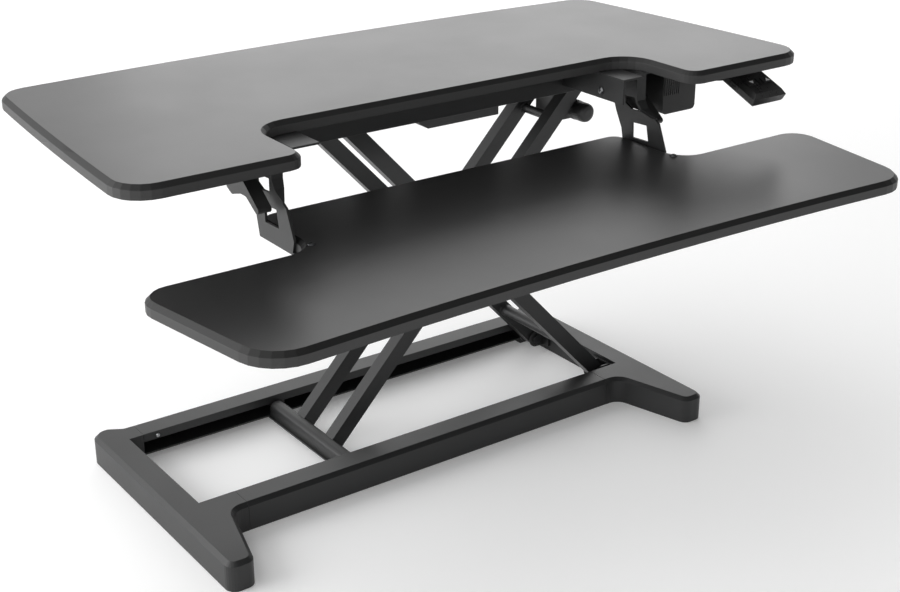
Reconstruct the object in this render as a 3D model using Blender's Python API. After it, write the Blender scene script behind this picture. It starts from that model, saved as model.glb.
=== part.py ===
"""Electric standing desk converter: X-lift, desktop, keyboard tray and drive.

Metres, +Z up, +X to the user's right, the user stands on the -Y side.
The parts are drawn around the centre line of the scissor lift, then the whole
is shifted so that the origin lies on the table under the middle of its outline.
The converter is drawn fully raised.
"""
import math

import bmesh
import bpy
from mathutils import Matrix, Vector

# ---- driving dimensions -------------------------------------------------
GAP = 0.0003                 # air between neighbouring pieces
ORIGIN_SHIFT_Y = 0.17171     # from the lift's centre line to the middle of the depth

# scissor lift
PIVOT_X = 0.3200             # fixed pivots, lower and upper
LOWER_PIVOT_Z = 0.0210
UPPER_PIVOT_Z = 0.4670
SLIDE_X = -0.0995            # sliding ends when fully raised
CENTRE_X = (PIVOT_X + SLIDE_X) / 2
CENTRE_Z = (LOWER_PIVOT_Z + UPPER_PIVOT_Z) / 2
BAR_HEIGHT = 0.0206
INNER_BAR_Y = (0.027, 0.045)
OUTER_BAR_Y = (0.065, 0.083)
PIN_RADIUS = 0.0040
PIN_HOLE = PIN_RADIUS + GAP
PIN_HEAD = 0.0070
AXLE_RADIUS = 0.0050
ROLLER_RADIUS = 0.0102

# base
FRAME_BOTTOM = 0.0008
BASE_HEIGHT = 0.0380
RAIL_OUTER_Y = 0.1325
RAIL_INNER_Y = 0.0972
RAIL_WALL = 0.0026
TRACK_Z = 0.0105             # top of the strip the lower rollers run on
RAIL_LIP_Z = 0.0268          # lower edge of the lip, clear above the axles
RAIL_SCREW_INSET = 0.0200    # from the rail's left seam
RAIL_SCREW_Z = 0.0318
EDGE_CHAMFER = 0.0050
BASE_CENTRE_X = 0.0070       # the base stands slightly right of the desktop's middle
FRONT_SEAM_X = 0.2820        # joint between the front rail and a foot, from the base's middle
REAR_SEAM_X = 0.3100
CHANNEL_END_X = 0.3070       # the front roller channel runs this far into a foot
FOOT_INNER_X = 0.3295
FOOT_OUTER_X = 0.3645
FOOT_TIP_Y = -0.2390
FOOT_REAR_Y = 0.1430
TOE_INNER_X = 0.3320
FOOT_WALL = 0.0040
PAD_RADIUS = 0.0090
PAD_SEAT = 0.0032            # depth of a pad's seat above the table

# upper frame
DESK_TOP = 0.5107
BOARD_THICKNESS = 0.0150
DESK_BOTTOM = DESK_TOP - BOARD_THICKNESS
FRAME_TOP = DESK_BOTTOM - GAP
UPPER_RAIL_BOTTOM = 0.4535
UPPER_RAIL_OUTER_Y = 0.1040
UPPER_RAIL_INNER_Y = 0.0860
UPPER_RAIL_X = (-0.3000, 0.3450)
SHEET = 0.0030               # steel sheet of brackets

# desktop board, half widths and depths of its flat top
DESK_FRONT_Y = -0.2805
DESK_REAR_Y = 0.1150
DESK_REAR_BOW = 0.0155
DESK_HALF_FRONT = 0.4575
DESK_HALF_REAR = 0.4300
DESK_SIDE_BOW = 0.0030
NOTCH_Y = -0.1670
NOTCH_HALF = 0.2687

# keyboard tray
TRAY_TOP = 0.4068
TRAY_BOTTOM = TRAY_TOP - BOARD_THICKNESS
TRAY_FRONT_Y = -0.4835
TRAY_FRONT_BOW = 0.0140
TRAY_SIDE_REAR_Y = -0.2840
TRAY_REAR_Y = -0.1650
TRAY_HALF_FRONT = 0.4250
TRAY_HALF_REAR = 0.4575
TRAY_MID_HALF = 0.2550
PLATE_X = 0.2620             # middle of the tray bracket's side plate
FLANGE_REACH = 0.0350        # width of the bracket flange under the tray
TRAY_BOLT = (0.2550, -0.2700)
TRAY_BOLT_RADIUS = 0.0024
TRAY_BOLT_HOLE = TRAY_BOLT_RADIUS + GAP
TRAY_BOLT_HEAD = 0.0042

# drive
TUBE_RADIUS = 0.0098
TUBE_BORE = 0.0080
TUBE_X = (0.0620, 0.2730)
ROD_RADIUS = 0.0074
ROD_BORE = 0.0048
ROD_END_X = 0.2620
SCREW_RADIUS = 0.0040
TROUGH = (0.0585, 0.1850, 0.4097, 0.4700)    # left, right, low, high
GEARBOX_X = (0.2740, 0.3105)
GEARBOX_HALF_Y = 0.0200
WHEEL_X = (0.2880, 0.2960)   # worm wheel on the lead screw
WHEEL_RADIUS = 0.0150
SCREW_X = (0.0700, 0.3070)
GEARBOX_Z = (0.3860, 0.4860)
MOTOR_RADIUS = 0.0130
MOTOR_X, MOTOR_Z = 0.3000, 0.4020
MOTOR_END_Y = -0.0600

# control box, handset, levers
BOX_X = (0.2950, 0.3505)
BOX_Y = (-0.2050, -0.1075)
BOX_BOTTOM = 0.4355
BOX_WALL = 0.0025
HANDSET_X = (0.3625, 0.4185)
HANDSET_TOP = (-0.2420, 0.4905)
HANDSET_TILT = math.radians(22)
HANDSET_LENGTH = 0.0590
HANDSET_THICKNESS = 0.0160
BUTTON_SIZE = (0.0150, 0.0100)
BUTTON_PROUD = 0.0015
LEVER_X = (0.2700, 0.2860)
LEVER_PIVOT = (-0.1600, 0.4660)
LEVER_STEM_RADIUS = 0.0030

# cables
MOTOR_CABLE_RADIUS = 0.0022
MOTOR_CABLE_Z = 0.4480
HANDSET_CABLE_RADIUS = 0.0018

ROUND_STEPS = 24
CORNER_STEPS = 6

# surface look: base colour, metallic, roughness
LOOKS = {
    "laminate": ((0.030, 0.030, 0.031, 1), 0.0, 0.55),
    "powder_coat": ((0.022, 0.022, 0.023, 1), 0.3, 0.50),
    "plastic": ((0.012, 0.012, 0.013, 1), 0.0, 0.45),
    "rubber": ((0.010, 0.010, 0.010, 1), 0.0, 0.85),
    "steel": ((0.450, 0.450, 0.460, 1), 1.0, 0.35),
    "nylon": ((0.028, 0.028, 0.028, 1), 0.0, 0.50),
    "circuit": ((0.020, 0.110, 0.050, 1), 0.0, 0.50),
}


# ---- helpers ------------------------------------------------------------
def clear_scene():
    for obj in list(bpy.data.objects):
        bpy.data.objects.remove(obj, do_unlink=True)


def paint(obj, look):
    colour, metallic, roughness = LOOKS[look]
    material = bpy.data.materials.new(obj.name + "_" + look)
    material.use_nodes = True
    shader = material.node_tree.nodes["Principled BSDF"]
    shader.inputs["Base Color"].default_value = colour
    shader.inputs["Metallic"].default_value = metallic
    shader.inputs["Roughness"].default_value = roughness
    obj.data.materials.append(material)


def to_object(name, bm, look, origin=(0, 0, 0), smooth=False):
    """Turn a mesh drawn in world coordinates into an object with its own origin."""
    bmesh.ops.recalc_face_normals(bm, faces=bm.faces)
    mesh = bpy.data.meshes.new(name)
    bm.to_mesh(mesh)
    bm.free()
    mesh.transform(Matrix.Translation(-Vector(origin)))
    for polygon in mesh.polygons:
        polygon.use_smooth = smooth
    if smooth:
        mesh.set_sharp_from_angle(angle=math.radians(40))
    obj = bpy.data.objects.new(name, mesh)
    obj.location = origin
    bpy.context.scene.collection.objects.link(obj)
    if look:
        paint(obj, look)
    return obj


def rounded(corners):
    """Points of a closed outline given as (u, v, radius) corners."""
    points = []
    count = len(corners)
    for i, (u, v, radius) in enumerate(corners):
        here = Vector((u, v))
        if radius == 0:
            points.append(here)
            continue
        before = (Vector(corners[i - 1][:2]) - here).normalized()
        after = (Vector(corners[(i + 1) % count][:2]) - here).normalized()
        half = before.angle(after) / 2
        start = here + before * radius / math.tan(half)
        centre = here + (before + after).normalized() * radius / math.sin(half)
        spoke = start - centre
        side = before.x * after.y - before.y * after.x
        sweep = (math.pi - 2 * half) * (1 if side < 0 else -1)
        for step in range(CORNER_STEPS + 1):
            turn = Matrix.Rotation(sweep * step / CORNER_STEPS, 2)
            points.append(centre + turn @ spoke)
    return points


def inset(corners, distances):
    """Move every edge of a counter-clockwise outline inwards by its own distance."""
    count = len(corners)
    lines = []
    for i in range(count):
        a, b = Vector(corners[i][:2]), Vector(corners[(i + 1) % count][:2])
        along = (b - a).normalized()
        lines.append((a + Vector((-along.y, along.x)) * distances[i], along))
    result = []
    for i in range(count):
        (p, d), (q, e) = lines[i - 1], lines[i]
        cross = d.x * e.y - d.y * e.x
        if abs(cross) < 1e-6:
            point = q
        else:
            gap = q - p
            point = p + d * ((gap.x * e.y - gap.y * e.x) / cross)
        radius = corners[i][2]
        if radius:
            shift = max(distances[i - 1], distances[i])
            radius += -shift if cross > 0 else shift
        result.append((point.x, point.y, radius))
    return result


def circle(u, v, radius, steps=ROUND_STEPS):
    angles = [2 * math.pi * i / steps for i in range(steps)]
    return [Vector((u + radius * math.cos(a), v + radius * math.sin(a))) for a in angles]


def place(axis, u, v, w):
    """World point of outline coordinates (u, v) at height w along an axis."""
    return {"x": (w, u, v), "y": (u, w, v), "z": (u, v, w)}[axis]


def skin(axis, levels, holes=()):
    """Closed body through matching outlines at rising levels, with straight holes."""
    bm = bmesh.new()
    rings = [[bm.verts.new(place(axis, p.x, p.y, w)) for p in outline] for outline, w in levels]
    ends = (levels[0][1], levels[-1][1])
    hole_rings = [[[bm.verts.new(place(axis, p.x, p.y, w)) for p in hole] for w in ends]
                  for hole in holes]
    stacks = [rings] + hole_rings
    for stack in stacks:
        for low, high in zip(stack, stack[1:]):
            for i in range(len(low)):
                j = (i + 1) % len(low)
                bm.faces.new((low[i], low[j], high[j], high[i]))
    for end in (0, -1):
        edges = []
        for stack in stacks:
            ring = stack[end]
            for i in range(len(ring)):
                edges.append(bm.edges.get((ring[i - 1], ring[i])))
        bmesh.ops.triangle_fill(bm, edges=edges, use_beauty=True)
    return bm


def prism(name, axis, outline, span, look, holes=(), origin=(0, 0, 0), smooth=False):
    points = [Vector(p[:2]) for p in outline]
    bm = skin(axis, [(points, span[0]), (points, span[1])], holes)
    return to_object(name, bm, look, origin, smooth)


def rectangle(u, v):
    return [(u[0], v[0]), (u[1], v[0]), (u[1], v[1]), (u[0], v[1])]


def box(name, x, y, z, look, origin=(0, 0, 0)):
    return prism(name, "z", rectangle(x, y), z, look, origin=origin)


def turned(name, axis, centre, profile, look, origin=None, closed=False, steps=ROUND_STEPS):
    """Body of revolution; the profile lists (position along the axis, radius)."""
    bm = bmesh.new()
    rings = []
    for along, radius in profile:
        if radius == 0:
            rings.append([bm.verts.new(place(axis, centre[0], centre[1], along))])
            continue
        ring = circle(centre[0], centre[1], radius, steps)
        rings.append([bm.verts.new(place(axis, p.x, p.y, along)) for p in ring])
    pairs = list(zip(rings, rings[1:]))
    if closed:
        pairs.append((rings[-1], rings[0]))
    for low, high in pairs:
        for i in range(steps):
            j = (i + 1) % steps
            corners = [low[i % len(low)], low[j % len(low)], high[j % len(high)], high[i % len(high)]]
            unique = list(dict.fromkeys(corners))
            bm.faces.new(unique)
    if origin is None:
        origin = place(axis, centre[0], centre[1], profile[0][0])
    return to_object(name, bm, look, origin, smooth=True)


def combine(target, tools, operation):
    """Boolean each tool into the target; the tools stay as hidden wire helpers."""
    for tool in tools:
        tool.hide_render = True
        tool.display_type = 'WIRE'
        modifier = target.modifiers.new(operation.lower() + "_" + tool.name, 'BOOLEAN')
        modifier.operation = operation
        modifier.solver = 'EXACT'
        modifier.object = tool
    return target


def cut(target, tools):
    return combine(target, tools, 'DIFFERENCE')


def weld(target, tools):
    return combine(target, tools, 'UNION')


def mirrored(points, side):
    """Outline on the chosen side (+1 or -1) of the u = 0 line."""
    flipped = [(p[0] * side,) + tuple(p[1:]) for p in points]
    return flipped if side > 0 else flipped[::-1]


def span(side, low, high):
    """Interval low..high on the positive side, or its mirror image."""
    return (low, high) if side > 0 else (-high, -low)


def bowed(start, end, bow, steps=12):
    """Points of a shallow arc between two corners, bulging left of start-end."""
    a, b = Vector(start), Vector(end)
    normal = Vector((-(b - a).y, (b - a).x)).normalized()
    return [(*(a.lerp(b, t) + normal * bow * 4 * t * (1 - t)), 0)
            for t in (i / steps for i in range(2, steps - 1))]


def label(side, names):
    return names[0] if side < 0 else names[1]


# ---- base ---------------------------------------------------------------
def base_x(side, x):
    """World x of a distance x from the base's middle, on the left or right."""
    return BASE_CENTRE_X + side * x


def base_span(side, low, high):
    ends = (base_x(side, low), base_x(side, high))
    return min(ends), max(ends)


def base_plan(side, points):
    """World plan of an outline drawn for the right half of the base."""
    return [(p[0] + BASE_CENTRE_X, p[1]) for p in mirrored(points, side)]


def foot_corners():
    """Plan of the right foot with its two rail stubs, counter-clockwise."""
    return [
        (FRONT_SEAM_X, -RAIL_OUTER_Y, 0),
        (0.3030, -RAIL_OUTER_Y, 0.018),
        (TOE_INNER_X, FOOT_TIP_Y, 0.013),
        (FOOT_OUTER_X, FOOT_TIP_Y, 0.013),
        (FOOT_OUTER_X, FOOT_REAR_Y, 0.019),
        (0.3400, FOOT_REAR_Y, 0.012),
        (0.3220, RAIL_OUTER_Y, 0.010),
        (REAR_SEAM_X, RAIL_OUTER_Y, 0),
        (REAR_SEAM_X, RAIL_INNER_Y, 0),
        (FOOT_INNER_X, RAIL_INNER_Y, 0),
        (FOOT_INNER_X, -RAIL_INNER_Y, 0),
        (FRONT_SEAM_X, -RAIL_INNER_Y, 0),
    ]


def foot_cutters(side):
    """Hollow underside, the roller channel through the front stub, and pad seats."""
    name = label(side, ("left", "right"))
    left, right = FOOT_INNER_X + FOOT_WALL, FOOT_OUTER_X - FOOT_WALL
    hollow = base_plan(side, [(left, -0.1450), (left + 0.0080, -0.2050), (right, -0.2050),
                              (right, 0.1000), (left, 0.1000)])
    channel_x = base_span(side, FRONT_SEAM_X - 0.005, CHANNEL_END_X)
    web = -RAIL_OUTER_Y + RAIL_WALL
    tools = [
        prism("hollow_" + name, "z", hollow, (-0.001, BASE_HEIGHT - FOOT_WALL), None),
        box("channel_" + name, channel_x, (web, -RAIL_INNER_Y + 0.001),
            (TRACK_Z, BASE_HEIGHT - RAIL_WALL), None),
        box("gutter_" + name, channel_x, (web, -RAIL_INNER_Y - RAIL_WALL),
            (-0.001, TRACK_Z - RAIL_WALL), None),
    ]
    for end, centre in zip(("front", "rear"), pad_centres(side)):
        seat = PAD_RADIUS + GAP
        tools.append(turned("seat_%s_%s" % (name, end), "z", centre,
                            [(-0.001, 0), (-0.001, seat), (PAD_SEAT, seat), (PAD_SEAT, 0)], None))
    return tools


def pad_centres(side):
    return (base_x(side, 0.3500), -0.2220), (base_x(side, 0.3480), 0.1190)


def make_foot(side):
    low = foot_corners()
    sloped_edges = 7
    high = inset(low, [EDGE_CHAMFER] * sloped_edges + [0] * (len(low) - sloped_edges))
    outlines = []
    for corners in (low, high):
        outlines.append([Vector(p) for p in base_plan(side, rounded(corners))])
    shoulder = BASE_HEIGHT - EDGE_CHAMFER
    bm = skin("z", [(outlines[0], FRAME_BOTTOM), (outlines[0], shoulder), (outlines[1], BASE_HEIGHT)])
    name = label(side, ("left", "right"))
    cut(to_object("base_foot_" + name, bm, "powder_coat"), foot_cutters(side))
    top = PAD_SEAT - GAP
    for end, centre in zip(("front", "rear"), pad_centres(side)):
        turned("rubber_pad_%s_%s" % (name, end), "z", centre,
               [(0, 0), (0, PAD_RADIUS - 0.001), (0.001, PAD_RADIUS), (top, PAD_RADIUS), (top, 0)],
               "rubber")


def base_rail_section(side):
    """Channel with a lip turned down inside, a roller strip and a chamfered outer edge."""
    outer, inner = RAIL_OUTER_Y, RAIL_INNER_Y
    wall, top = RAIL_WALL, BASE_HEIGHT
    strip = TRACK_Z - RAIL_WALL
    slope = EDGE_CHAMFER + 0.0010    # chamfer measured on the inner skin
    points = [
        (outer, FRAME_BOTTOM), (outer, top - EDGE_CHAMFER), (outer - EDGE_CHAMFER, top),
        (inner, top), (inner, RAIL_LIP_Z), (inner + wall, RAIL_LIP_Z), (inner + wall, top - wall),
        (outer - slope, top - wall), (outer - wall, top - slope), (outer - wall, TRACK_Z),
        (inner, TRACK_Z), (inner, strip), (outer - wall, strip), (outer - wall, FRAME_BOTTOM),
    ]
    return mirrored(points, side)


def make_base_rails():
    for side, seam in ((-1, FRONT_SEAM_X), (1, REAR_SEAM_X)):
        name = label(side, ("front", "rear"))
        reach = (base_x(-1, seam - GAP), base_x(1, seam - GAP))
        prism("base_rail_" + name, "x", base_rail_section(side), reach, "powder_coat")
        seat = RAIL_INNER_Y - GAP
        profile = [(seat, 0), (seat, 0.0036), (seat - 0.0010, 0.0036), (seat - 0.0016, 0.0025),
                   (seat - 0.0016, 0)]
        turned("rail_screw_" + name, "y", (base_x(-1, seam - RAIL_SCREW_INSET), RAIL_SCREW_Z),
               [(side * y, radius) for y, radius in profile], "steel", steps=16)


def make_lower_brackets():
    """U brackets on the right foot; the outer arms turn on pins between their ears."""
    back = base_x(1, FOOT_INNER_X) - GAP
    face, half_ear = back - SHEET, 0.0125
    low, high = OUTER_BAR_Y[0] - 0.0008, OUTER_BAR_Y[1] + 0.0008
    z = (LOWER_PIVOT_Z - half_ear, LOWER_PIVOT_Z + half_ear)
    tip = PIVOT_X - half_ear
    ear = rounded([(back, z[0], 0), (back, z[1], 0), (tip, z[1], 0.012), (tip, z[0], 0.012)])
    hole = [circle(PIVOT_X, LOWER_PIVOT_Z, PIN_HOLE, 16)]
    for side in (-1, 1):
        name = label(side, ("front", "rear"))
        bracket = box("lower_pivot_bracket_" + name, (face, back), span(side, 0.0500, 0.0960), z,
                      "powder_coat")
        ears = [prism("lower_ear_%s_%d" % (name, i), "y", ear, span(side, start, start + SHEET), None,
                      holes=hole)
                for i, start in enumerate((low - SHEET, high))]
        weld(bracket, ears)
        make_pin("lower_pivot_pin_" + name, PIVOT_X, LOWER_PIVOT_Z, side,
                 low - SHEET, high + SHEET)


def make_pin(name, x, z, side, start, end):
    """Headed pin along Y through two ears that lie between start and end."""
    head, lip = PIN_HEAD, 0.0022
    a, b = start - GAP, end + GAP
    profile = [(a - lip, 0), (a - lip, head), (a, head), (a, PIN_RADIUS),
               (b, PIN_RADIUS), (b, head - 0.001), (b + 0.0016, head - 0.001), (b + 0.0016, 0)]
    profile = [(side * y, radius) for y, radius in profile]
    return turned(name, "y", (x, z), profile, "steel", origin=(x, side * start, z))


# ---- scissor arms -------------------------------------------------------
def bar_outline(low_end, high_end):
    """Round-ended bar between two pivots, as (x, z) points."""
    a, b = Vector(low_end), Vector(high_end)
    along = (b - a).normalized()
    angle = math.atan2(along.y, along.x)
    radius = BAR_HEIGHT / 2
    half = ROUND_STEPS // 2
    points = []
    for centre, start in ((b, angle - math.pi / 2), (a, angle + math.pi / 2)):
        for i in range(half + 1):
            turn = start + math.pi * i / half
            points.append(centre + radius * Vector((math.cos(turn), math.sin(turn))))
    return points


def rod_profile(stations):
    """Stepped rod symmetric about y = 0 from (half length, radius) steps, outermost first."""
    left = []
    for (half, radius), following in zip(stations, stations[1:] + [None]):
        left.append((-half, radius))
        if following:
            left.append((-following[0], radius))
    left = [(-stations[0][0], 0)] + left
    return left + [(-y, r) for y, r in reversed(left)]


def make_arm_frame(name, low_end, high_end, bar_y, cross_tubes, holes_at, origin):
    """Two parallel bars welded to cross tubes; each tube is (x, z, steps)."""
    outline = bar_outline(low_end, high_end)
    holes = [circle(x, z, PIN_HOLE, 16) for x, z in holes_at]
    bars = [prism(name if hand < 0 else name + "_rear_bar", "y", outline, span(hand, *bar_y),
                  "powder_coat" if hand < 0 else None, holes=holes, origin=origin, smooth=True)
            for hand in (-1, 1)]
    tubes = [turned("%s_tube_%d" % (name, i), "y", (x, z), rod_profile(steps), None, origin=(0, 0, 0))
             for i, (x, z, steps) in enumerate(cross_tubes)]
    return weld(bars[0], [bars[1]] + tubes)


def along_arm(start, end, distance, drop=0.0):
    """Point on an arm's centre line, optionally shifted towards the floor side."""
    a, b = Vector(start), Vector(end)
    along = (b - a).normalized()
    normal = Vector((along.y, -along.x))
    if normal.y > 0:
        normal = -normal
    point = a + along * distance + normal * drop
    return point.x, point.y


def make_arms():
    lower_fixed, upper_fixed = (PIVOT_X, LOWER_PIVOT_Z), (PIVOT_X, UPPER_PIVOT_Z)
    lower_slide, upper_slide = (SLIDE_X, LOWER_PIVOT_Z), (SLIDE_X, UPPER_PIVOT_Z)
    centre = (CENTRE_X, CENTRE_Z)
    outer_tie = along_arm(lower_fixed, upper_slide, 0.085)
    outer_reach, inner_reach = OUTER_BAR_Y[0] + 0.006, INNER_BAR_Y[0] + 0.006
    make_arm_frame("outer_arm_frame", lower_fixed, upper_slide, OUTER_BAR_Y,
                   [(*upper_slide, [(0.1005, AXLE_RADIUS), (0.0840, 0.0080)]),
                    (*outer_tie, [(outer_reach, 0.0080)])],
                   [lower_fixed, centre], (PIVOT_X, 0, LOWER_PIVOT_Z))
    inner_tie = along_arm(upper_fixed, lower_slide, 0.092, 0.0043)
    inner = make_arm_frame("inner_arm_frame", lower_slide, upper_fixed, INNER_BAR_Y,
                           [(*inner_tie, [(inner_reach, 0.0060)])],
                           [upper_fixed, centre], (CENTRE_X, 0, CENTRE_Z))
    weld(inner, lower_beam())
    for side in (-1, 1):
        name = label(side, ("front", "rear"))
        make_centre_bolt("centre_pivot_bolt_" + name, side)
        make_roller("lower_roller_" + name, (SLIDE_X, LOWER_PIVOT_Z), side, 0.1040, 0.1200)
        make_roller("upper_roller_" + name, (SLIDE_X, UPPER_PIVOT_Z), side, 0.0880, 0.0990)


def lower_beam():
    """Pressed beam across the inner arms' lower ends, with an axle stub at each end."""
    left, right, low, high, lip = SLIDE_X - 0.0190, SLIDE_X - 0.0010, 0.0100, 0.0315, 0.0022
    section = rounded([(right, low, 0), (right, high, 0.005), (left, high - 0.001, 0.008),
                       (left, low + lip, 0), (left - 0.0035, low + lip, 0), (left - 0.0035, low, 0)])
    reach = 0.0930
    parts = [prism("lower_beam", "y", section, (-reach, reach), None)]
    for side in (-1, 1):
        stub = [(0.0800, 0), (0.0800, AXLE_RADIUS), (0.1240, AXLE_RADIUS), (0.1240, 0)]
        parts.append(turned("axle_stub_" + label(side, ("front", "rear")), "y",
                            (SLIDE_X, LOWER_PIVOT_Z), [(side * y, r) for y, r in stub], None))
    return parts


def make_centre_bolt(name, side):
    """Bolt through one inner and one outer bar with a spacer between them."""
    inner, outer = INNER_BAR_Y, OUTER_BAR_Y
    profile = [(inner[0] - 0.0025, 0), (inner[0] - 0.0025, 0.0070), (inner[0] - GAP, 0.0070),
               (inner[0] - GAP, PIN_RADIUS), (inner[1] + GAP, PIN_RADIUS), (inner[1] + GAP, 0.0075),
               (outer[0] - GAP, 0.0075), (outer[0] - GAP, PIN_RADIUS), (outer[1] + GAP, PIN_RADIUS),
               (outer[1] + GAP, 0.0075), (outer[1] + 0.0025, 0.0068), (outer[1] + 0.0025, 0)]
    profile = [(side * y, radius) for y, radius in profile]
    turned(name, "y", (CENTRE_X, CENTRE_Z), profile, "steel", origin=(CENTRE_X, 0, CENTRE_Z))


def make_roller(name, centre, side, start, end):
    edge, bore = 0.0010, AXLE_RADIUS + GAP
    profile = [(start, bore), (start, ROLLER_RADIUS - edge), (start + edge, ROLLER_RADIUS),
               (end - edge, ROLLER_RADIUS), (end, ROLLER_RADIUS - edge), (end, bore)]
    profile = [(side * y, radius) for y, radius in profile]
    origin = (centre[0], side * (start + end) / 2, centre[1])
    turned(name, "y", centre, profile, "nylon", origin=origin, closed=True)


# ---- boards -------------------------------------------------------------
def board(name, corners, low, high, holes=()):
    """Board with a chamfered upper edge around its whole outline."""
    wide = inset(corners, [-EDGE_CHAMFER] * len(corners))
    wide, flat = rounded(wide), rounded(corners)
    bm = skin("z", [(wide, low), (wide, high - EDGE_CHAMFER), (flat, high)], holes)
    return to_object(name, bm, "laminate")


def make_desktop():
    """Desktop with bowed rear and side edges and a deep notch at the front."""
    half, rear = DESK_HALF_FRONT, DESK_HALF_REAR
    corners = [(half, DESK_FRONT_Y, 0.033)]
    corners += bowed((half, DESK_FRONT_Y), (rear, DESK_REAR_Y), -DESK_SIDE_BOW)
    corners += [(rear, DESK_REAR_Y, 0.032)]
    corners += bowed((rear, DESK_REAR_Y), (-rear, DESK_REAR_Y), -DESK_REAR_BOW)
    corners += [(-rear, DESK_REAR_Y, 0.032)]
    corners += bowed((-rear, DESK_REAR_Y), (-half, DESK_FRONT_Y), -DESK_SIDE_BOW)
    corners += [(-half, DESK_FRONT_Y, 0.033), (-NOTCH_HALF, DESK_FRONT_Y, 0.015),
                (-NOTCH_HALF, NOTCH_Y, 0.042), (NOTCH_HALF, NOTCH_Y, 0.042),
                (NOTCH_HALF, DESK_FRONT_Y, 0.015)]
    board("desktop_board", corners, DESK_BOTTOM, DESK_TOP)


def make_tray():
    """Keyboard tray: wide front part and a narrower part reaching back."""
    front, rear, mid = TRAY_HALF_FRONT, TRAY_HALF_REAR, TRAY_MID_HALF
    right = [(front, TRAY_FRONT_Y, 0.042), (rear, TRAY_SIDE_REAR_Y, 0.026),
             (mid, TRAY_SIDE_REAR_Y, 0.034), (mid, TRAY_REAR_Y, 0.014)]
    left = [(-x, y, r) for x, y, r in reversed(right)]
    front_edge = bowed((-front, TRAY_FRONT_Y), (front, TRAY_FRONT_Y), TRAY_FRONT_BOW)
    x, y = TRAY_BOLT
    holes = [circle(side * x, y, TRAY_BOLT_HOLE, 12) for side in (-1, 1)]
    tray = board("keyboard_tray", right + left + front_edge, TRAY_BOTTOM, TRAY_TOP, holes)
    seat, head, rim = TRAY_TOP - 0.0008, TRAY_BOLT_HEAD, TRAY_BOLT_HEAD + 0.0006
    cut(tray, [turned("bolt_seat_%d" % side, "z", (side * x, y),
                      [(seat, 0), (seat, rim), (TRAY_TOP + 0.001, rim), (TRAY_TOP + 0.001, 0)], None)
               for side in (-1, 1)])
    under, shank, proud = TRAY_BOTTOM - SHEET - 2 * GAP, TRAY_BOLT_RADIUS, TRAY_TOP + 0.0018
    profile = [(under - 0.0028, 0), (under - 0.0028, head), (under, head), (under, shank),
               (seat + GAP, shank), (seat + GAP, head), (proud - 0.0008, head),
               (proud, 0.7 * head), (proud, 0)]
    for side in (-1, 1):
        turned("tray_bolt_" + label(side, ("left", "right")), "z", (side * x, y), profile,
               "steel", steps=16)


# ---- upper frame --------------------------------------------------------
def make_upper_rails():
    """Channels under the desktop; the upper rollers run between strip and shelf."""
    outer, inner, wall = UPPER_RAIL_OUTER_Y, UPPER_RAIL_INNER_Y, 0.0026
    web = outer - wall
    low, strip, shelf = UPPER_RAIL_BOTTOM, UPPER_RAIL_BOTTOM + 0.0028, 0.4784
    section = [(outer, low), (outer, FRAME_TOP), (inner, FRAME_TOP), (inner, FRAME_TOP - wall),
               (web, FRAME_TOP - wall), (web, shelf + wall), (inner, shelf + wall), (inner, shelf),
               (web, shelf), (web, strip), (inner, strip), (inner, low)]
    for side in (-1, 1):
        name = "upper_rail_" + label(side, ("front", "rear"))
        prism(name, "x", mirrored(section, side), UPPER_RAIL_X, "powder_coat")


def make_cross_members():
    """A channel at the left end and an angle at the right end join the two rails."""
    reach = (-UPPER_RAIL_INNER_Y + GAP, UPPER_RAIL_INNER_Y - GAP)
    wall, top = 0.0020, FRAME_TOP
    x0, x1, low = -0.2990, -0.2740, 0.4830
    channel = [(x0, low), (x0, top), (x1, top), (x1, low), (x1 - wall, low), (x1 - wall, top - wall),
               (x0 + wall, top - wall), (x0 + wall, low)]
    prism("frame_cross_member_left", "y", channel, reach, "powder_coat")
    x0, x1, low = 0.3370, 0.3440, 0.4560
    angle = [(x1, low), (x1, top), (x0, top), (x0, top - wall), (x1 - wall, top - wall), (x1 - wall, low)]
    prism("frame_cross_member_right", "y", angle, reach, "powder_coat")


def make_wing_supports():
    """Angles that run forward from the front rail under each wing, bolted to the board."""
    thick = 0.0025
    for side, web, low, flange in ((-1, 0.2440, 0.4780, 0.2100), (1, 0.2160, 0.4640, 0.2475)):
        name = label(side, ("left", "right"))
        inward = 1 if flange < web else -1
        section = [(web, low), (web - inward * thick, low), (web - inward * thick, FRAME_TOP - thick),
                   (flange, FRAME_TOP - thick), (flange, FRAME_TOP), (web, FRAME_TOP)]
        arm = prism("wing_support_" + name, "y", mirrored(section, side),
                    (-0.2180, -UPPER_RAIL_OUTER_Y - GAP), "powder_coat")
        bolt_at = (-0.1780, low + 0.0100)
        near, far = sorted((web - inward * thick, web))
        hole = prism("support_bolt_hole_" + name, "x", circle(*bolt_at, 0.0033, 12),
                     span(side, near - 0.001, far + 0.001), None)
        cut(arm, [hole])
        # the head sits on the face turned to the left
        head, tail = (far + GAP, near - 0.003) if side < 0 else (near - GAP, far + 0.003)
        out = 1 if side < 0 else -1
        profile = [(head + out * 0.0024, 0), (head + out * 0.0024, 0.0042), (head, 0.0050),
                   (head, 0.0030), (tail, 0.0030), (tail, 0)]
        turned("support_bolt_" + name, "x", bolt_at, [(side * x, r) for x, r in profile],
               "steel", steps=16)


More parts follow.
